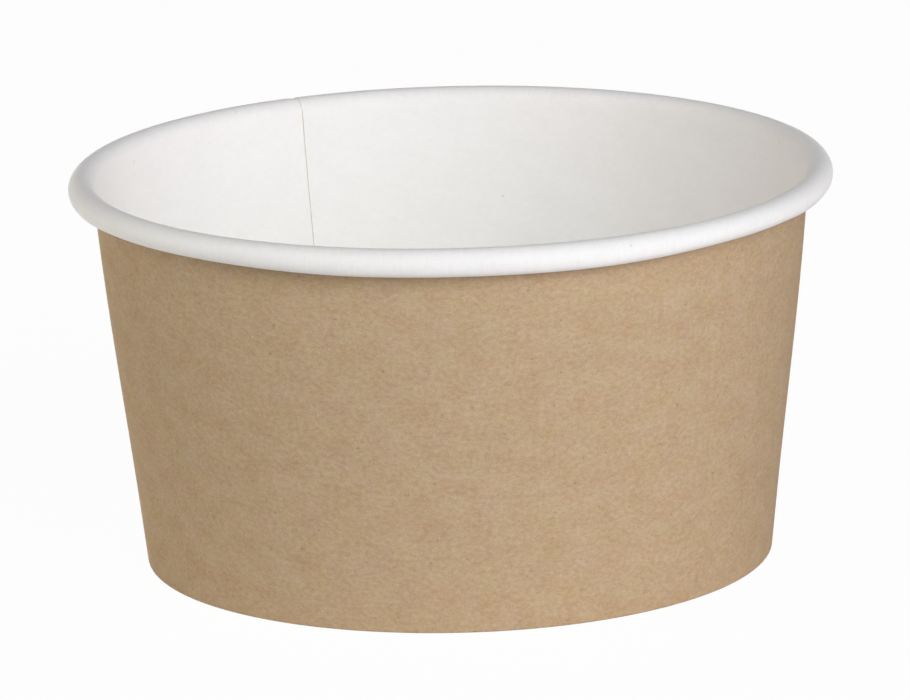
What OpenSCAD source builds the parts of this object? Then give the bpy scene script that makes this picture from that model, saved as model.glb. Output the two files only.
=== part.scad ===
// Paper deli pot: a tapered wall of coated board with a rolled rim, and a raised base in its foot
// Z points up, the pot stands on z = 0 and its axis is the Z axis. Millimetres and degrees.
// The board has a white face, which lines the pot, and a kraft face, which is seen from outside.

/* [Pot] */
// Outside diameter over the rolled rim
rim_d = 150; // [136:0.5:180]
// Overall height, from the table to the top of the rim
pot_h = 78; // [50:0.5:120]
// Outside diameter of the wall, taken straight down to the table
foot_d = 123.6; // [100:0.2:130]
// How far the wall swells past a straight cone, two thirds of the way up
wall_swell = 0.4; // [0:0.05:1]

/* [Board] */
// Thickness of the wall's board
board_t = 0.38; // [0.3:0.01:0.5]
// Thickness of the base's board
base_t = 0.36; // [0.3:0.01:0.5]
// Glue line on each side of the base's skirt, and under its edge
glue_gap = 0.1; // [0.08:0.01:0.2]

/* [Rolled rim] */
// Thickness across the roll
roll_d = 5.2; // [3.5:0.1:7]
// Gap between one layer of the roll and the next
roll_gap = 0.12; // [0.08:0.01:0.3]
// How far the edge runs on inside the roll, past its lowest point
tuck_turn = 200; // [90:5:260]

/* [Foot] */
// Height of the edge that is turned up inside the foot
flap_h = 7.5; // [4:0.5:14]
// Gap between the turned-up edge and the curve under the base
flap_gap = 0.5; // [0.2:0.1:2]
// Inside radius of the fold that the pot stands on
fold_bend = 0.1; // [0.02:0.01:0.15]
// Inside radius of the corner between the base and its skirt
base_bend = 0.6; // [0.3:0.1:2]

/* [Side seam] */
// Bearing of the inner lap's edge, counter-clockwise from the X axis
seam_at = 115.3; // [0:0.1:360]
// Width of the overlap
lap_w = 9; // [5:0.5:15]
// How far each cut edge of the pressed seam stands proud
lap_step = 0.28; // [0.1:0.01:0.3]
// Length over which the outer lap comes back down to a single layer
lap_runout = 2.4; // [1.5:0.1:5]
// Width of the gap that the inner lap's edge leaves over the roll
edge_gap = 0.4; // [0.2:0.05:1]

/* [Hidden] */

$fn = 180;
// Points on an arc lie at multiples of this angle
ARC_STEP = 7.5;
// Straight facets that follow the wall's swell
SWELL_STEPS = 8;
// Facets round the overlap
LAP_STEPS = 6;
// How far a cutting shape reaches past the face that it cuts
REACH = 1;

// Roll: its own radius, its centre in the pot's section, and the same for the layer tucked inside it
roll_r = roll_d / 2;
roll_at = [rim_d / 2 - roll_r, pot_h - roll_r];
tuck_r = roll_r - board_t - roll_gap;
tuck_at = roll_at + [0, tuck_r - roll_r];

// Base: outside radius of its corner, and the height of its white face
base_r = base_bend + base_t;
base_top = flap_h + flap_gap + base_r;

// Wall's lean as a slope, its angle, and the factor between a thickness and its level width
foot_r = foot_d / 2;
wall_slope = (roll_at.x - roll_r + board_t - foot_r) / roll_at.y;
foot_lean = atan(wall_slope);
level = 1 / cos(foot_lean);

// The wall meets the roll where their faces run the same way, so its lean there sets the point
SWELL_PEAK = 27 / 4;
top_slope = wall_slope - SWELL_PEAK * wall_swell / (roll_at.y - base_top);
top_lean = atan(top_slope);
wall_top = roll_at + roll_r * [-cos(top_lean), sin(top_lean)];

// Fold: outside radius, its two centres, and the distance from its outer face to its inner one
fold_r = fold_bend + board_t;
fold_w = 2 * board_t + base_t + 2 * glue_gap;
outer_fold_at = [foot_line(fold_r, fold_r), fold_r];
inner_fold_at = [foot_line(fold_r, fold_w - fold_r), fold_r];

// Seam: angles that the lap, its run-out and the gap over the roll take up
seam_r = (foot_r + roll_at.x) / 2;
lap_deg = deg_of(lap_w, seam_r);
runout_deg = deg_of(lap_runout, seam_r);
gap_deg = deg_of(edge_gap, roll_at.x);
// The run-out's slope is drawn on past its end by a quarter, so that it cuts the board cleanly
run_past = seam_at + runout_deg * 1.25;

// Angle that a length takes up round a circle
function deg_of(length, radius) = length / radius * 180 / PI;

// Radius at height z, a given depth inside the wall's outer face where that face is still straight
function foot_line(z, depth) = foot_r + wall_slope * z - depth * level;

// Share of the way from the base up to the roll
function rise(z) = max(0, (z - base_top) / (wall_top.y - base_top));

// Radius and slope of the wall's white face at height z
function white_r(z) =
    let (t = rise(z), lift = wall_top.x - foot_line(wall_top.y, board_t))
    foot_line(z, board_t) + lift * t + SWELL_PEAK * wall_swell * t * t * (1 - t);
function white_slope(z) =
    let (t = rise(z))
    wall_slope + SWELL_PEAK * wall_swell * (2 * t - 3 * t * t) / (wall_top.y - base_top);

// Radius at height z, a given depth under the wall's white face and square to it
function wall_r(z, depth) = white_r(z) + depth * sqrt(1 + pow(white_slope(z), 2));

// Heights at which the wall's outline has a point, between the base and the roll
wall_heights = [for (i = [0:SWELL_STEPS - 1]) base_top + (wall_top.y - base_top) * i / SWELL_STEPS];
function wall_line(heights, depth) = [for (z = heights) [wall_r(z, depth), z]];

// Points of an arc, in order from one angle to the other
function arc_angles(from, to) = to > from
    ? [from, for (k = [floor(from / ARC_STEP) + 1:ceil(to / ARC_STEP) - 1]) k * ARC_STEP, to]
    : [from, for (k = [ceil(from / ARC_STEP) - 1:-1:floor(to / ARC_STEP) + 1]) k * ARC_STEP, to];
function arc(centre, radius, from, to) =
    [for (a = arc_angles(from, to)) centre + radius * [cos(a), sin(a)]];

function backwards(points) = [for (i = [len(points) - 1:-1:0]) points[i]];

// The roll's outer turn and the layer tucked inside it, at a depth under the white face
function roll_line(depth) = arc(roll_at, roll_r - depth, 180 - top_lean, -90);
function tuck_line(depth) = arc(tuck_at, tuck_r - depth, -90, -90 - tuck_turn);
// The same turn for the seam's gap, begun one point early so that it runs on from the wall
function edge_line(depth) = arc(roll_at, roll_r - depth, 180 + ARC_STEP - top_lean, -90);

// The whole board in section at a depth under its white face: flap, fold, wall, roll and tucked edge
function board_line(depth) = concat(
    [[foot_line(flap_h, fold_w - board_t + depth), flap_h]],
    arc(inner_fold_at, fold_bend + depth, 180 - foot_lean, 270),
    arc(outer_fold_at, fold_bend + depth, 270, 360 - foot_lean),
    wall_line(wall_heights, depth),
    roll_line(depth),
    [for (i = [1:len(tuck_line(depth)) - 1]) tuck_line(depth)[i]]
);

module board_section() {
    polygon(concat(board_line(0), backwards(board_line(board_t))));
}

// A solid between two sheets of points that run round the wall (first index) and up it (second index)
module between(outer, inner) {
    turns = len(outer);
    rows = len(outer[0]);
    function at(side, i, j) = (side * turns + i) * rows + j;
    function quad(a, b, c, d) = [[a, b, c], [a, c, d]];
    sides = [for (i = [0:turns - 2], j = [0:rows - 2]) each concat(
        quad(at(0, i, j), at(0, i, j + 1), at(0, i + 1, j + 1), at(0, i + 1, j)),
        quad(at(1, i, j), at(1, i + 1, j), at(1, i + 1, j + 1), at(1, i, j + 1))
    )];
    ends = [for (j = [0:rows - 2], last = [turns - 1]) each concat(
        quad(at(0, 0, j), at(1, 0, j), at(1, 0, j + 1), at(0, 0, j + 1)),
        quad(at(0, last, j), at(0, last, j + 1), at(1, last, j + 1), at(1, last, j))
    )];
    edges = [for (i = [0:turns - 2], top = [rows - 1]) each concat(
        quad(at(0, i, 0), at(0, i + 1, 0), at(1, i + 1, 0), at(1, i, 0)),
        quad(at(0, i, top), at(1, i, top), at(1, i + 1, top), at(0, i + 1, top))
    )];
    points = concat([for (line = outer) each line], [for (line = inner) each line]);
    polyhedron(points, concat(sides, ends, edges));
}

// One line of such a sheet: up the wall at an angle, with a depth under the white face for each height
function upright(angle, heights, depths) =
    [for (j = [0:len(heights) - 1])
        let (r = wall_r(heights[j], depths[j]))
        [r * cos(angle), r * sin(angle), heights[j]]];

// How far the outer lap stands proud at an angle: its step, then down to nothing and on below
function step_at(angle) = lap_step * (1 - max(0, angle - seam_at) / runout_deg);

// The outer lap, from its cut edge to where it is a single layer. At the foot it runs into the fold.
module outer_lap() {
    heights = concat([fold_r, flap_h], wall_heights, [tuck_at.y]);
    angles = concat([for (i = [0:LAP_STEPS]) seam_at - lap_deg * (1 - i / LAP_STEPS)], [run_past]);
    inside = board_t / 2;
    function face(a, z) = z > fold_r ? board_t + step_at(a) : inside * 1.5;
    between(
        [for (a = angles) upright(a, heights, [for (z = heights) face(a, z)])],
        [for (a = angles) upright(a, heights, [for (z = heights) inside])]
    );
}

// The hollow beside the inner lap's edge, where the board swings out to pass over it
module edge_hollow() {
    heights = concat([flap_h], wall_heights, [wall_top.y]);
    angles = [seam_at, run_past];
    between(
        [for (a = angles) upright(a, heights, [for (z = heights) step_at(a)])],
        [for (a = angles) upright(a, heights, [for (z = heights) -REACH])]
    );
}

// The gap beside the same edge where it goes over the roll, which squeezes the step to half
module roll_gap_cut() {
    rotate([0, 0, seam_at])
        rotate_extrude(angle = gap_deg)
            polygon(concat(edge_line(-REACH), backwards(edge_line(lap_step / 2))));
}

module side_wall() {
    color("#b39872")
        difference() {
            union() {
                rotate_extrude() board_section();
                outer_lap();
            }
            edge_hollow();
            roll_gap_cut();
        }
}

// The base in section at a depth under its white face: disc, corner and skirt
base_corner_at = [
    foot_line(base_top - base_r, board_t + glue_gap + base_r),
    base_top - base_r
];
skirt_end = fold_r + glue_gap;
function base_line(depth) = concat(
    [[0, base_top - depth]],
    arc(base_corner_at, base_r - depth, 90, -foot_lean),
    [[foot_line(skirt_end, board_t + glue_gap + depth), skirt_end]]
);

module base_disc() {
    color("#f1efea")
        rotate_extrude()
            polygon(concat(base_line(0), backwards(base_line(base_t))));
}

side_wall();
base_disc();
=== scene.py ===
# %% [markdown]
# # Paper deli pot
#
# A wide pot for soup or salad, of kraft board with a white lining. It is modelled the way the real one is made: the
# board is drawn as one line in section, that line is wrapped round with its ends overlapping, and the sheet gets its
# thickness last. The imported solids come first, because they say where everything goes. Sizes are in millimetres until
# a piece is finished, and then it is brought to metres.

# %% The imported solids
import math

import bmesh
import bpy
from mathutils import Matrix, Vector, noise


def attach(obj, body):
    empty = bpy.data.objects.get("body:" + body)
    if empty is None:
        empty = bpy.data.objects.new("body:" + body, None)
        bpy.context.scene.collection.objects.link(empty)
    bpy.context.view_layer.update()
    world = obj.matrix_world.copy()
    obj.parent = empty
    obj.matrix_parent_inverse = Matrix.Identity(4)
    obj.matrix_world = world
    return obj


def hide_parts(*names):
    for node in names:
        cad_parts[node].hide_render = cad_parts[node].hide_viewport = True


MM = 0.001
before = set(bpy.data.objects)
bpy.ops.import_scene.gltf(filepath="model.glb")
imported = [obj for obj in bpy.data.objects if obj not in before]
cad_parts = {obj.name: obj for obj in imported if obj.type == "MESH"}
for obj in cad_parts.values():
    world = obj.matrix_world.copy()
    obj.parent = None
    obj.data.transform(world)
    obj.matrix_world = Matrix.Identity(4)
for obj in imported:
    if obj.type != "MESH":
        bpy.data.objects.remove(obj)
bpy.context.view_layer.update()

# %% [markdown]
# ## The camera
#
# The pot was photographed from well back with a long lens, from a little above, and with the camera turned a degree
# or so. These values were found by laying the pot's outline over the photograph. A camera in Blender looks down its
# own -Z axis, so it is first raised to look along +Y, then tipped down, then turned about its own axis.

# %% The camera
PICTURE_WIDE = 910
FOCUS_PIXELS = 8066.5
STAND_OFF = 1600.7
RAISED = math.radians(15.386)
TIPPED = math.radians(13.9835)
TURNED = math.radians(-1.507)

lens = bpy.data.cameras.new("camera")
lens.sensor_width = 36
lens.lens = FOCUS_PIXELS * lens.sensor_width / PICTURE_WIDE
camera = bpy.data.objects.new("camera", lens)
bpy.context.scene.collection.objects.link(camera)
camera.matrix_world = (
    Matrix.Translation((0, -STAND_OFF * MM * math.cos(RAISED), STAND_OFF * MM * math.sin(RAISED)))
    @ Matrix.Rotation(math.pi / 2 - TIPPED, 4, "X")
    @ Matrix.Rotation(TURNED, 4, "Z")
)
bpy.context.scene.camera = camera
print("Lens:", round(lens.lens, 1), "mm")

# %% [markdown]
# ## The board's own sizes
#
# The same sizes as in the part's source. The white face of the board lines the pot, and it is the face that is drawn:
# it is on the inside of the tight fold at the foot and on the outside of the wide roll at the rim, so the thickness can
# be added on its other side without the sheet running into itself. The wall swells as t * t * (1 - t) does, with t
# from 0 at the base to 1 at the roll. That is 4/27 at its highest, so the factor 27/4 brings its peak to 1.

# %% The board's own sizes
RIM_R, POT_H, FOOT_R = 75.0, 78.0, 61.8
SWELL, SWELL_PEAK = 0.4, 27 / 4
BOARD_T, BASE_T, GLUE = 0.38, 0.36, 0.10
ROLL_R, ROLL_GAP, TUCK_TURN = 2.6, 0.12, 200
FLAP_H, FLAP_GAP, FOLD_BEND, BASE_BEND = 7.5, 0.5, 0.1, 0.6

roll_at = Vector((RIM_R - ROLL_R, 0, POT_H - ROLL_R))
tuck_r = ROLL_R - BOARD_T - ROLL_GAP
tuck_at = roll_at + Vector((0, 0, tuck_r - ROLL_R))
base_r = BASE_BEND + BASE_T
base_top = FLAP_H + FLAP_GAP + base_r
slope = (roll_at.x - ROLL_R + BOARD_T - FOOT_R) / roll_at.z
lean = math.atan(slope)
fold_r = FOLD_BEND + BOARD_T
fold_w = 2 * BOARD_T + BASE_T + 2 * GLUE
top_lean = math.atan(slope - SWELL_PEAK * SWELL / (roll_at.z - base_top))
wall_top = roll_at + ROLL_R * Vector((-math.cos(top_lean), 0, math.sin(top_lean)))


def foot_line(z, depth):
    """The radius at height z, a depth under the wall's outer face where that face is straight."""
    return FOOT_R + slope * z - depth / math.cos(lean)


def white_face(z):
    """The radius of the wall's white face, which swells a little past a straight cone."""
    t = max(0.0, (z - base_top) / (wall_top.z - base_top))
    lift = wall_top.x - foot_line(wall_top.z, BOARD_T)
    return foot_line(z, BOARD_T) + lift * t + SWELL_PEAK * SWELL * t * t * (1 - t)


print("The wall leans", round(math.degrees(lean), 2), "degrees and meets the roll at height", round(wall_top.z, 2))

# %% [markdown]
# ## Drawing a line
#
# Two helpers draw a section as a draughtsman does, from the tip of the line: straight on to a point, or round an arc.
# The arc is a spin of the single vertex at the tip, which leaves edges behind it. A third helper reads the points
# back in order, so that each can be given its distance along the board.


# %% Drawing a line
def draw_to(line, tip, r, z):
    """Draws the line straight on from its tip, and returns the new tip."""
    tip = bmesh.ops.extrude_vert_indiv(line, verts=[tip])["verts"][0]
    tip.co = (r, 0, z)
    return tip


def draw_round(line, tip, centre, degrees, steps):
    """Draws the line on round a centre, clockwise where the radius runs to the right, and returns the new tip."""
    turn = bmesh.ops.spin(
        line, geom=[tip], cent=centre, axis=(0, 1, 0), angle=math.radians(degrees), steps=steps
    )
    return turn["geom_last"][0]


def in_order(start):
    """The points of a line from its free end."""
    points, came_by = [start], None
    while True:
        onward = [edge for edge in points[-1].link_edges if edge is not came_by]
        if not onward:
            return points
        came_by = onward[0]
        points.append(came_by.other_vert(points[-1]))


# %% [markdown]
# ## The wall's section
#
# The line starts at the edge that is turned up inside the foot. It goes down, round the fold that the pot stands on,
# up the wall and over the roll, and ends tucked 200 degrees further on inside it. The wall is drawn in short lengths,
# which follow its swelling face. The four layers of numbers are made first, because adding one to a mesh makes
# Python lose hold of the points that it already has.

# %% The wall's section
UNDER_ROLL = 70.0


def draw_wall(line, tip, top, steps):
    """Draws the line on up the wall's white face in equal steps of height, and returns the new tip."""
    bottom = tip.co.z
    for i in range(1, steps + 1):
        z = bottom + (top - bottom) * i / steps
        tip = draw_to(line, tip, white_face(z), z)
    return tip


wall = bmesh.new()
proud, along, turned, hang = (wall.verts.layers.float.new(name) for name in ("proud", "along", "turned", "hang"))
leaning = math.degrees(lean)
outer_fold_at = Vector((foot_line(fold_r, fold_r), 0, fold_r))
inner_fold_at = Vector((foot_line(fold_r, fold_w - fold_r), 0, fold_r))
fold_start = inner_fold_at + FOLD_BEND * Vector((-math.cos(lean), 0, math.sin(lean)))

free_edge = wall.verts.new((foot_line(FLAP_H, fold_w - BOARD_T), 0, FLAP_H))
tip = draw_to(wall, free_edge, fold_start.x, fold_start.z)
tip = draw_round(wall, tip, inner_fold_at, -90 - leaning, 6)
tip = draw_to(wall, tip, outer_fold_at.x, fold_r - FOLD_BEND)
foot_point = draw_round(wall, tip, outer_fold_at, leaning - 90, 6)
tip = draw_wall(wall, foot_point, base_top, 5)
tip = draw_wall(wall, tip, UNDER_ROLL, 15)
rim_point = draw_wall(wall, tip, wall_top.z, 6)
tip = draw_round(wall, rim_point, roll_at, 270 - math.degrees(top_lean), 44)
tip = draw_round(wall, tip, tuck_at, TUCK_TURN, 20)
print("Points in the wall's section:", len(wall.verts))

# %% [markdown]
# ## How proud the seam stands
#
# Where the ends of the board overlap they are pressed together. Halfway up the wall the outer end still stands proud,
# but in the fold and in the roll both are squeezed into the thickness of one. Each point of the line gets a share:
# 1 where the seam is proud and 0 where it is squeezed flat. It also gets its distance along the board, for the
# patterns that follow it, and past the top of the roll its depth below that top. These are vertex layers, so the sweep
# to come copies them.


# %% How proud the seam stands
def ease(value, low, high):
    """0 at low and 1 at high, with a smooth start and end."""
    t = min(1.0, max(0.0, (value - low) / (high - low)))
    return t * t * (3 - 2 * t)


points = in_order(free_edge)
foot_index, rim_index = points.index(foot_point), points.index(rim_point)
for i, point in enumerate(points):
    if foot_index < i <= rim_index:
        point[proud] = ease(point.co.z, fold_r, FLAP_H) * ease(point.co.z, tuck_at.z, tuck_at.z - tuck_r)
    if i:
        point[along] = points[i - 1][along] + (point.co - points[i - 1].co).length
    if i > rim_index and (point.co.x > roll_at.x or points[i - 1][hang] > 0):
        point[hang] = POT_H - point.co.z
rim_along = points[rim_index][along]
print("Length of the board in section:", round(points[-1][along], 1), "mm")

# %% [markdown]
# ## Wrapping the board round
#
# The line is turned to the seam and swept round the pot in five goes, each one a spin that starts where the last one
# ended: the inner lap, a narrow strip in which its pressed board gets back to full thickness, most of a turn, the
# run-out where the board swings out over its own end, and the outer lap. The whole sweep is a full turn and 9 mm more.
# Each column of points is told how far round the board it is, which can't be read from its place alone, because the
# two laps lie in the same place.

# %% Wrapping the board round
SEAM_AT = math.radians(115.3)
TURN_STEPS, RUNOUT_STEPS, LAP_STEPS = 350, 5, 9
LAP_W, RUNOUT_W, GROOVE_W = 9.0, 2.4, 0.4
seam_r = (FOOT_R + roll_at.x) / 2
lap, runout, groove = LAP_W / seam_r, RUNOUT_W / seam_r, GROOVE_W / seam_r


def wrap(line, edge, start, angle, steps):
    """Sweeps the edge on round the pot, notes how far round each new point is, and returns the new edge."""
    old = len(line.verts)
    swept = bmesh.ops.spin(line, geom=edge, cent=(0, 0, 0), axis=(0, 0, 1), angle=-angle, steps=steps)
    line.verts.ensure_lookup_table()
    for point in line.verts[old:]:
        round_by = (SEAM_AT - math.atan2(point.co.y, point.co.x)) % math.tau
        point[turned] = round_by + math.tau * round((start + angle / 2 - round_by) / math.tau)
    return swept["geom_last"]


bmesh.ops.rotate(wall, verts=wall.verts, cent=(0, 0, 0), matrix=Matrix.Rotation(SEAM_AT, 3, "Z"))
edge, start = wall.verts[:] + wall.edges[:], 0.0
turn = math.tau - lap - groove - runout
for angle, steps in ((lap, LAP_STEPS), (groove, 1), (turn, TURN_STEPS), (runout, RUNOUT_STEPS), (lap, LAP_STEPS)):
    edge = wrap(wall, edge, start, angle, steps)
    start += angle
print("The sheet goes round by", round(math.degrees(start), 2), "degrees and has", len(wall.faces), "faces")

# %% [markdown]
# ## Pressing the seam
#
# Seen from the kraft side, the outer lap lies over the inner one. So it is pushed off the white face by as much as the
# inner lap is thick, and the run-out before it rises from nothing to that. Each point also gets the thickness that the
# board has left there, as a share of the full one, in a vertex group that the thickening reads later. The sheet's own
# normals point to its white side, so the push goes against them.

# %% Pressing the seam
PROUD_STEP, FLAT_STEP, SLACK = 0.28, 0.19, 0.01


def between(a, b, share):
    """The value a share of the way from a to b."""
    return a + (b - a) * share


pressed = wall.verts.layers.deform.verify()
wall.normal_update()
if sum(face.normal.dot(face.calc_center_median()) for face in wall.faces if face.verts[0][proud] > 0.9) > 0:
    bmesh.ops.reverse_faces(wall, faces=wall.faces)
wall.normal_update()
for point in wall.verts:
    step = between(FLAT_STEP, PROUD_STEP, point[proud])
    over = ease(point[turned], math.tau - runout, math.tau)
    both = BOARD_T + PROUD_STEP * point[proud] * over
    left = step - SLACK if point[turned] < lap + 1e-4 else both - step * over
    point[pressed][0] = left / BOARD_T
    point.co -= point.normal * step * over
thinnest = BOARD_T * min(point[pressed][0] for point in wall.verts)
print("The board is pressed from", BOARD_T, "to", round(thinnest, 3), "mm at its thinnest")

# %% [markdown]
# ## Skew and unevenness
#
# The blank went round the former a little askew, so the seam leans: over the 29 mm of it that show above the front of
# the rim, it goes half a degree round. Turning every point about the pot's axis by an amount that grows with its
# height moves the seam alone, because the rest of the wall is round. The rim isn't quite even either. The roll hangs a
# quarter of a millimetre lower in the middle of the front than at its sides, where it is drawn up a little, and to the
# right of the middle the whole rim dips. Then smooth noise pulls the sheet in by a few hundredths of a millimetre, more
# at the roll, where the board has been forced into a shape that it doesn't like. Nothing is pushed outwards or over the
# top, so the pot stays within its sizes.
#
# Each pair of numbers says where an effect starts and where it is full: bearings in degrees, with -90 at the front,
# and heights in mm. DENT_SIZE is how far apart the broad dents are, in mm, and ROLL_DENTS how many fit in a radius.

# %% Skew and unevenness
SEAM_SEEN = 29
SKEW = math.radians(0.5) / SEAM_SEEN
HANG, LIFT, DIP = 0.105, 0.055, 0.22
HANG_FROM, HANG_TO = (-135, -100), (-42, -72)
LIFT_FROM, LIFT_TO = (-165, -150), (-20, -32)
DIP_FROM, DIP_TO, DIP_RISE = (-95, -55), (20, -25), (40, 74)
DENT, DENT_RISE, DENT_SIZE = 0.05, (4, 30), 26
ROLL_DENT, ROLL_RISE, ROLL_DENTS = 0.07, (66, 74), 9

for point in wall.verts:
    point.co.rotate(Matrix.Rotation(SKEW * (point.co.z - POT_H), 3, "Z"))
    away = point.co.xy.normalized()
    bearing = math.degrees(math.atan2(away.y, away.x))
    low_roll = HANG * ease(bearing, *HANG_FROM) * ease(bearing, *HANG_TO)
    slim_roll = LIFT * ease(bearing, *LIFT_FROM) * ease(bearing, *LIFT_TO)
    dipped = ease(bearing, *DIP_FROM) * ease(bearing, *DIP_TO) * ease(point.co.z, *DIP_RISE)
    at_roll = ease(point.co.z, *ROLL_RISE)
    point.co.z -= (low_roll - slim_roll) * point[hang] + DIP * dipped
    broad = 0.5 + 0.5 * noise.noise(point.co / DENT_SIZE)
    close = 0.5 + 0.5 * noise.noise(Vector((away.x, away.y, 0.2)) * ROLL_DENTS)
    pull = DENT * broad * ease(point.co.z, *DENT_RISE) + ROLL_DENT * close * at_roll
    point.co.xy -= away * pull
print("The wall's outer radius is now", round(max(point.co.xy.length for point in wall.verts), 3), "mm")

# %% [markdown]
# ## The flat blank
#
# The paper's fibres and clouds lie in the board as it was before it was wrapped: a flat piece cut from a ring, since a
# cone unrolls to one. Every point is told its place in that flat blank, and the finishes read it, so that the grain
# runs one way through the sheet and drifts round the pot as on a real one. A second layer marks where a knurled
# wheel pressed the turned-up edge against the base's skirt.

# %% The flat blank
RIBS_FROM, RIBS_TO = (0.6, 1.4), (6.4, 5.6)

blank = wall.verts.layers.float_vector.new("blank")
ribbed = wall.verts.layers.float.new("ribbed")
unroll = math.sin(lean)
foot_along = FLAP_H + fold_w
for point in wall.verts:
    reach = FOOT_R / unroll + point[along] - foot_along
    angle = (point[turned] - math.pi) * unroll
    point[blank] = (reach * math.sin(angle), reach * math.cos(angle), 0)
    point[ribbed] = ease(point[along], *RIBS_FROM) * ease(point[along], *RIBS_TO)
print("The blank is cut to", round(math.degrees(math.tau * unroll), 1), "degrees of a ring and a lap")

# %% [markdown]
# ## Finishes
#
# One method adds a node of any kind. What a node gives is wrapped in a class that knows arithmetic, so that a pattern
# can be written as an expression, and each sign in it becomes a Math node. A finish is a material that has this method
# and a few more, for the patterns that paper shows. Paper is matt, so each finish has very little gloss. More would
# pick up the white background along every edge that is seen at a slant.


# %% Finishes
class Value:
    """What a node gives. Arithmetic with it adds Math nodes to its tree."""

    def __init__(self, nodes, socket):
        self.nodes, self.socket = nodes, socket

    def math(self, operation, *values):
        return self.nodes.node("Math", {"operation": operation}, dict(enumerate(values)))

    def __add__(self, other):
        return self.math("ADD", self, other)

    def __sub__(self, other):
        return self.math("SUBTRACT", self, other)

    def __rsub__(self, other):
        return self.math("SUBTRACT", other, self)

    def __mul__(self, other):
        return self.math("MULTIPLY", self, other)

    def __gt__(self, other):
        return self.math("GREATER_THAN", self, other)

    __radd__, __rmul__ = __add__, __mul__


class Nodes:
    """A tree of nodes, with one method that adds a node to it."""

    def __init__(self, tree):
        self.tree = tree

    def node(self, kind, settings={}, sockets={}, gives=0):
        """Adds a node of a kind, with its settings and what goes into its sockets, and returns what it gives."""
        node = self.tree.nodes.new("ShaderNode" + kind)
        for name, value in settings.items():
            setattr(node, name, value)
        for name, value in sockets.items():
            if isinstance(value, Value):
                self.tree.links.new(value.socket, node.inputs[name])
            else:
                node.inputs[name].default_value = value
        return Value(self, node.outputs[gives])


class Finish(Nodes):
    """A material, with methods for the patterns that paper shows."""

    def __init__(self, name, gloss):
        self.material = bpy.data.materials.new(name)
        self.material.use_nodes = True
        super().__init__(self.material.node_tree)
        self.surface = self.tree.nodes["Principled BSDF"]
        self.surface.inputs["Specular IOR Level"].default_value = gloss

    def wear(self, **looks):
        """Links each look, such as base_color, to the surface's socket of that name."""
        for name, value in looks.items():
            self.tree.links.new(value.socket, self.surface.inputs[name.replace("_", " ").title()])

    def cloud(self, at, size, detail, seed, fineness=0.5):
        """Noise about nothing, in patches of that size (x, y, z). Fineness is how strong finer ones in them are."""
        place = self.node("Mapping", {}, {"Vector": at, "Location": seed, "Scale": [1 / s for s in size]})
        noise_of = {"Vector": place, "Scale": 1.0, "Detail": detail, "Roughness": fineness}
        return self.node("TexNoise", {}, noise_of) - 0.5

    def sine(self, value):
        """The sine of a value in radians."""
        return value.math("SINE", value)

    def fade(self, value, low, high):
        """0 at low and 1 at high."""
        ends = {"Value": value, "From Min": low, "From Max": high}
        return self.node("MapRange", {"interpolation_type": "SMOOTHSTEP"}, ends)

    def mix(self, share, a, b):
        """The colour a share of the way from a to b."""
        return self.node("Mix", {"data_type": "RGBA"}, {0: share, 6: a, 7: b}, 2)

    def fibres(self, at, angle, length, width, seed):
        """A mask of fine streaks that lie at an angle to the sheet's X."""
        turn = self.node("VectorRotate", {"rotation_type": "Z_AXIS"}, {"Vector": at, "Angle": math.radians(angle)})
        return self.fade(self.cloud(turn, (length, width, 1), 1.0, seed), 0.1, 0.22)

    def specks(self, at, spacing, size, share, seed):
        """A mask of small spots, one in each of a share of the cells of that spacing."""
        place = self.node("Mapping", {}, {"Vector": at, "Location": seed, "Scale": [1 / spacing] * 3})
        found = {"Vector": place, "Scale": 1.0}
        distance = self.node("TexVoronoi", {"voronoi_dimensions": "2D"}, found, "Distance")
        chance = self.node("TexVoronoi", {"voronoi_dimensions": "2D"}, found, "Color")
        pick = self.node("SeparateColor", {}, {"Color": chance}, "Red")
        large = self.node("SeparateColor", {}, {"Color": chance}, "Green")
        radius = (large * 0.8 + 0.4) * (size / spacing)
        return self.fade(distance, radius, radius * 0.5) * (pick > 1 - share)

    def relief(self, height, depth):
        """The surface's normal under a pattern of that depth in mm."""
        return self.node("Bump", {}, {"Strength": 1.0, "Distance": depth * MM, "Height": height})


def shade(red, green, blue):
    """A colour as a picture program names it, in the linear numbers that Blender works in."""
    parts = [c / 255 for c in (red, green, blue)]
    return [c / 12.92 if c < 0.04045 else ((c + 0.055) / 1.055) ** 2.4 for c in parts] + [1.0]


# %% [markdown]
# ## Kraft, the outside
#
# Unbleached paper: clouds a few millimetres across where the pulp settled thicker, a fine grain, loose fibres that
# lie mostly across the pot, and now and then a speck of bark or a pale chip. The colour is stronger where the pulp is
# darker. Its strength and its hue also drift a little on their own.

# %% Kraft, the outside
RIBS_ROUND = 190

kraft = Finish("kraft_face", 0.03)
sheet = kraft.node("Attribute", {"attribute_name": "blank"}, {}, "Vector")
pulp = kraft.cloud(sheet, (6.0, 4.8, 1), 3.0, (3, 1, 0), 0.7)
grain = kraft.cloud(sheet, (1.1, 0.85, 1), 3.0, (11, 5, 0))
tooth = kraft.cloud(sheet, (0.33, 0.32, 1), 2.0, (2, 9, 0))
strength = kraft.cloud(sheet, (6.5, 5.5, 1), 4.0, (31, 7, 0), 0.9)
hue = kraft.cloud(sheet, (6.5, 5.5, 1), 4.0, (17, 23, 0), 0.9)
dark_fibres = kraft.fibres(sheet, 8, 1.8, 0.16, (4, 4, 0))
pale_fibres = kraft.fibres(sheet, -22, 1.4, 0.17, (8, 2, 0))
level = 0.5 + pulp * 0.5 + grain * 0.9 + tooth * 0.9 + pale_fibres * 0.13 - dark_fibres * 0.15
brown = kraft.mix(level, shade(169, 144, 112), shade(207, 182, 149))
drift = {"Hue": 0.5 + hue * 0.06, "Saturation": 1 + strength * 0.38 - pulp * 0.17, "Color": brown}
brown = kraft.node("HueSaturation", {}, drift)
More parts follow.
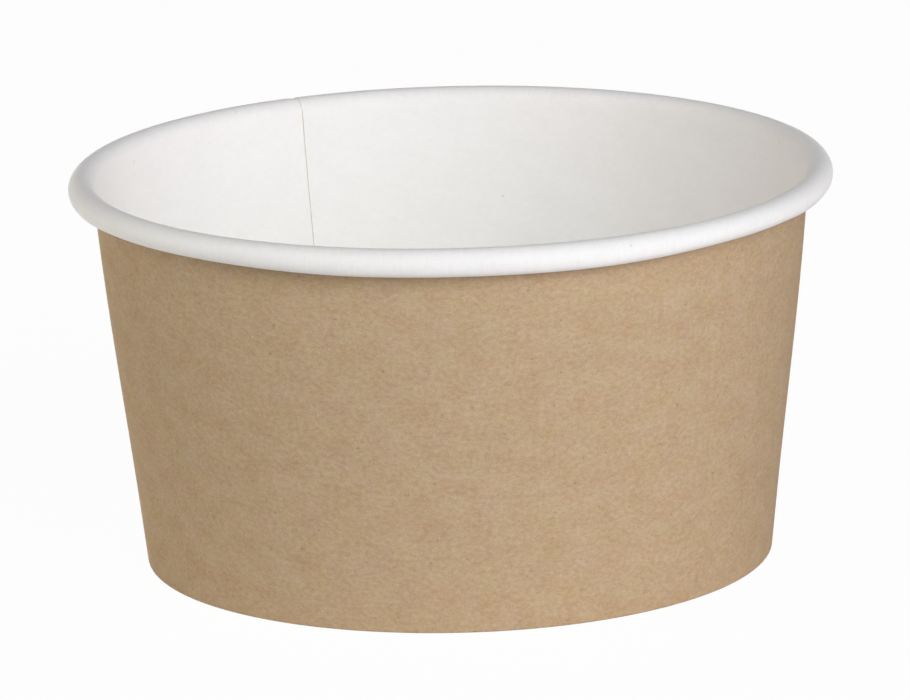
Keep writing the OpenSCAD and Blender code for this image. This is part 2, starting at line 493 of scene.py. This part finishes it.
brown = kraft.mix(kraft.specks(sheet, 5.5, 0.3, 0.5, (1, 6, 0)) * 0.32, brown, shade(112, 82, 52))
brown = kraft.mix(kraft.specks(sheet, 14.0, 0.3, 0.4, (5, 3, 0)) * 0.25, brown, shade(232, 214, 188))
ribs = kraft.node("Attribute", {"attribute_name": "ribbed"}, {}, "Fac")
round_by = kraft.node("Attribute", {"attribute_name": "turned"}, {}, "Fac")
knurl = ribs * kraft.sine(round_by * RIBS_ROUND)
kraft.wear(
    base_color=brown,
    roughness=0.74 + grain * 0.3,
    normal=kraft.relief(grain * 1.2 + tooth + knurl * 3.0, 0.02),
)
print("Kraft has", len(kraft.tree.nodes), "nodes")

# %% [markdown]
# ## White lining
#
# The other face is bleached and sealed with a thin film, so it is smoother and has a soft sheen. Even so it shows
# faint clouds, and a few grey specks under the film. Where it was rolled over the rim, it has been stretched round the
# pot and gathered again, which leaves faint wrinkles that run over the roll. They are noise, drawn out along the board.
# They bend the surface, and in the colour they are painted shade: faint lighter and darker streaks along the roll.

# %% White lining
WRINKLE_LONG, WRINKLE_WIDE = 6.0, 0.55

white = Finish("white_face", 0.06)
sheet = white.node("Attribute", {"attribute_name": "blank"}, {}, "Vector")
pulp = white.cloud(sheet, (8.0, 5.0, 1), 3.0, (6, 13, 0))
grain = white.cloud(sheet, (1.4, 1.2, 1), 3.0, (9, 2, 0))
tooth = white.cloud(sheet, (0.36, 0.36, 1), 1.0, (5, 8, 0))
run = white.node("Attribute", {"attribute_name": "along"}, {}, "Fac")
round_by = white.node("Attribute", {"attribute_name": "turned"}, {}, "Fac")
across = white.node("CombineXYZ", {}, {"X": round_by * RIM_R, "Y": run})
wrinkles_and_painted_shade = white.cloud(across, (WRINKLE_WIDE, WRINKLE_LONG, 1), 2.0, (0, 0, 0))
wrinkles_and_painted_shade = wrinkles_and_painted_shade * white.fade(run, rim_along - 1.0, rim_along + 1.5)
# The wrinkles in the colour are painted shade: lighter and darker streaks over the roll, on top of the real clouds.
level = 0.5 + pulp * 0.7 + grain * 0.9 + tooth * 1.0 + wrinkles_and_painted_shade * 1.2
lining = white.mix(level, shade(243, 242, 239), shade(250, 249, 247))
lining = white.mix(white.specks(sheet, 17.0, 0.4, 0.2, (7, 1, 0)) * 0.2, lining, shade(170, 166, 158))
white.wear(
    base_color=lining,
    roughness=0.46 + grain * 0.25,
    normal=white.relief(pulp * 2.0 + grain * 0.9 + tooth * 0.5 + wrinkles_and_painted_shade * 2.5, 0.01),
)
print("White has", len(white.tree.nodes), "nodes")

# %% [markdown]
# ## The cut edge
#
# Where the board is cut, its pale middle ply shows between the two faces. It is matt, and uneven where the knife
# dragged at it.

# %% The cut edge
core = Finish("cut_edge", 0.15)
place = core.node("TexCoord", {}, {}, "Object")
plies = core.cloud(place, (0.0009, 0.0009, 0.0002), 2.0, (1, 2, 3))
core.wear(
    base_color=core.mix(0.5 + plies * 2.0, shade(230, 212, 194), shade(247, 236, 222)),
    roughness=0.85 + plies * 0.3,
)

# %% [markdown]
# ## Giving the sheet its thickness
#
# Solidify adds the kraft face behind the white one, and closes the gap between them at the sheet's free edges. It also
# hands out the finishes: the drawn face keeps the first slot, the new face takes the second and the rims the third.
# The result is kept as the mesh, and every edge where two faces meet at more than 50 degrees is made sharp, because a
# cut edge has a crisp corner.


# %% Giving the sheet its thickness
CRISP = math.radians(50)


def make_board(name, sheet, thickness):
    """A finished board from its white face, drawn in mm."""
    bmesh.ops.scale(sheet, vec=(MM, MM, MM), verts=sheet.verts)
    for face in sheet.faces:
        face.smooth = True
    flat = bpy.data.meshes.new(name + "_sheet")
    sheet.to_mesh(flat)
    sheet.free()
    piece = bpy.data.objects.new(name, flat)
    bpy.context.scene.collection.objects.link(piece)
    for finish in (white, kraft, core):
        flat.materials.append(finish.material)
    solid = piece.modifiers.new("thickness", "SOLIDIFY")
    solid.thickness, solid.offset, solid.use_even_offset = thickness * MM, -1, True
    solid.material_offset, solid.material_offset_rim = 1, 2
    if "turned" in flat.attributes:  # The wall, whose seam is pressed thinner
        solid.vertex_group = piece.vertex_groups.new(name="pressed").name
    shown = piece.evaluated_get(bpy.context.evaluated_depsgraph_get())
    piece.data = bpy.data.meshes.new_from_object(shown)
    piece.modifiers.clear()
    board = bmesh.new()
    board.from_mesh(piece.data)
    for edge in board.edges:
        edge.smooth = edge.calc_face_angle(0) < CRISP
    open_edges = sum(not edge.is_manifold for edge in board.edges)
    board.to_mesh(piece.data)
    board.free()
    piece.data.name = name
    print(name, "has", len(piece.data.polygons), "faces and", open_edges, "open edges")
    return piece


wall_board = make_board("wall_board", wall, BOARD_T)

# %% [markdown]
# ## The base
#
# A disc whose edge is turned down as a skirt. Its line is swept in one full spin with its ends merged. The spin of the
# middle point gives a pile of points in one place, which merging by distance makes into one pole.

# %% The base
DISC_RINGS, SKIRT_RINGS, BASE_STEPS = (12, 24, 36, 48, 57), (5, 2.5), 180

base = bmesh.new()
along = base.verts.layers.float.new("along")
blank = base.verts.layers.float_vector.new("blank")
corner_at = Vector((foot_line(base_top - base_r, BOARD_T + GLUE + base_r), 0, base_top - base_r))
skirt_end = fold_r + GLUE
middle = tip = base.verts.new((0, 0, base_top))
for r in (*DISC_RINGS, corner_at.x):
    tip = draw_to(base, tip, r, base_top)
tip = draw_round(base, tip, corner_at, 90 + leaning, 10)
for z in (*SKIRT_RINGS, skirt_end):
    tip = draw_to(base, tip, foot_line(z, BOARD_T + GLUE), z)
points = in_order(middle)
for before, point in zip(points, points[1:]):
    point[along] = before[along] + (point.co - before.co).length
whole = base.verts[:] + base.edges[:]
bmesh.ops.spin(
    base, geom=whole, cent=(0, 0, 0), axis=(0, 0, 1), angle=math.tau, steps=BASE_STEPS, use_merge=True
)
bmesh.ops.remove_doubles(base, verts=base.verts, dist=1e-4)
base.normal_update()
if sum(face.normal.z for face in base.faces) < 0:
    bmesh.ops.reverse_faces(base, faces=base.faces)
for point in base.verts:
    away = point.co.xy.normalized() if point.co.xy.length > 1e-6 else Vector((0, 0))
    point[blank] = (away.x * point[along], away.y * point[along], 0)
base_board = make_board("base_board", base, BASE_T)

# %% [markdown]
# ## Joining the imported part
#
# Each new piece stands for its solid, which is hidden, and rides on the only body there is. The record's material for
# each is listed with it, but nothing uses it.

# %% Joining the imported part
for piece, node, slot in ((wall_board, "side_wall", "kraft_board"), (base_board, "base_disc", "white_board")):
    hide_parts(node)
    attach(piece, "root")

# %% [markdown]
# ## The table and the background
#
# The pot stands on a pale table in front of white. To the camera the table is mostly a plain glow, so that it is as
# white as the photograph's background, with enough of a real surface left to hold the pot's shadow. To every other ray
# it is an ordinary pale surface that throws light back up. From below it is clear, so that the foot can be looked at.

# %% The table and the background
TABLE_REACH = 4

table_mesh = bpy.data.meshes.new("table")
top = bmesh.new()
bmesh.ops.create_grid(top, x_segments=1, y_segments=1, size=TABLE_REACH)
top.to_mesh(table_mesh)
top.free()
table = bpy.data.objects.new("table", table_mesh)
bpy.context.scene.collection.objects.link(table)
table.visible_shadow = False

paper = Finish("table", 0.1)
table_mesh.materials.append(paper.material)
paper.surface.inputs["Base Color"].default_value = (0.9, 0.9, 0.9, 1)
paper.surface.inputs["Roughness"].default_value = 0.9


def seen(nodes):
    """1 for rays that show the background: from the camera, in a reflection or through something clear."""
    camera_ray, glossy, clear = (
        nodes.node("LightPath", {}, {}, "Is " + kind + " Ray") for kind in ("Camera", "Glossy", "Transmission")
    )
    return camera_ray.math("MAXIMUM", camera_ray, glossy.math("MAXIMUM", glossy, clear))


GLOW_SHARE = 0.97
glow = paper.node("Emission", {}, {"Color": (1, 1, 1, 1), "Strength": 1.0})
real = Value(paper, paper.surface.outputs[0])
above = paper.node("MixShader", {}, {0: seen(paper) * GLOW_SHARE, 1: real, 2: glow})
from_below = paper.node("NewGeometry", {}, {}, "Backfacing")
shown = paper.node("MixShader", {}, {0: from_below, 1: above, 2: paper.node("BsdfTransparent")})
paper.tree.links.new(shown.socket, paper.tree.nodes["Material Output"].inputs["Surface"])

AMBIENT = 0.05
world = bpy.data.worlds.new("world")
bpy.context.scene.world = world
world.use_nodes = True
sky = Nodes(world.node_tree)
dim = sky.node("Background", {}, {"Color": (0.85, 0.92, 1, 1), "Strength": AMBIENT})
bright = sky.node("Background", {}, {"Color": (1, 1, 1, 1), "Strength": 1.0})
behind = sky.node("MixShader", {}, {0: seen(sky), 1: dim, 2: bright})
sky.tree.links.new(behind.socket, sky.tree.nodes["World Output"].inputs["Surface"])

# %% [markdown]
# ## The lamps
#
# The photograph was lit from low down: the right of the outside and the left of the inside are the brightest, and the
# top of the roll is greyer than its front. So a broad key lamp stands low at the right front, and weaker ones stand
# round the pot. All are large and far off, for soft shading. The table throws no shadow, so a lamp can also stand below
# its level, as the one behind the pot does, where it lights the back of the wall and not the top of the roll.
#
# The right of the inside is brighter in the photograph than the roll beside it, so its light comes from within, off
# the pot's own base. A narrow beam from above lights the base alone, and the base passes the light on. A second beam
# does the same for the recess under the base, which is dark from every other side.

# %% The lamps
AIM = Vector((0, 0, 45 * MM))
STOOD_OFF, LAMP_SIZE = 3.0, 1.7
SOFT_EDGE = 0.15


def lamp(name, azimuth, elevation, power, colour):
    """A square lamp that faces the pot, seen from it at an azimuth and elevation in degrees."""
    a, e = math.radians(azimuth), math.radians(elevation)
    out = Vector((math.cos(e) * math.cos(a), math.cos(e) * math.sin(a), math.sin(e)))
    data = bpy.data.lights.new(name, "AREA")
    data.shape, data.size, data.energy, data.color = "SQUARE", LAMP_SIZE, power, colour
    made = bpy.data.objects.new(name, data)
    made.matrix_world = Matrix.Translation(AIM + out * STOOD_OFF) @ out.to_track_quat("Z", "Y").to_matrix().to_4x4()
    made.visible_camera = False
    bpy.context.scene.collection.objects.link(made)


lamp("key", -48, 18, 46, (1.0, 0.92, 0.97))
lamp("front", -76, 32, 37, (0.90, 1.0, 1.0))
lamp("fill", -170, 30, 20.5, (1.0, 0.81, 0.80))
lamp("left", 170, 2, 22, (0.95, 1.0, 0.85))
lamp("back", 95, -14, 25, (1.0, 1.0, 1.0))
lamp("below", -90, -90, 6, (1.0, 1.0, 1.0))


def beam(name, height, radius, power, colour):
    """A spot on the pot's axis that shines at the origin and lights a disc of that radius in mm there."""
    data = bpy.data.lights.new(name, "SPOT")
    data.energy, data.color = power, colour
    data.spot_size, data.spot_blend = 2 * math.atan(radius * MM / abs(height)), SOFT_EDGE
    made = bpy.data.objects.new(name, data)
    made.matrix_world = Matrix.Translation((0, 0, height)) @ Matrix.Rotation(math.pi * (height < 0), 4, "X")
    made.visible_camera = False
    bpy.context.scene.collection.objects.link(made)


beam("base_beam", 1.5, 66, 25.5, (1.0, 0.96, 0.88))
beam("foot_beam", -1.0, 60, 18, (1.0, 1.0, 1.0))

# %% [markdown]
# ## Finishing
#
# The view transform is set to Standard, which shows colours as they are. The two boxes are kept, hidden.

# %% Finishing
bpy.context.scene.view_settings.view_transform = "Standard"
bpy.context.view_layer.update()
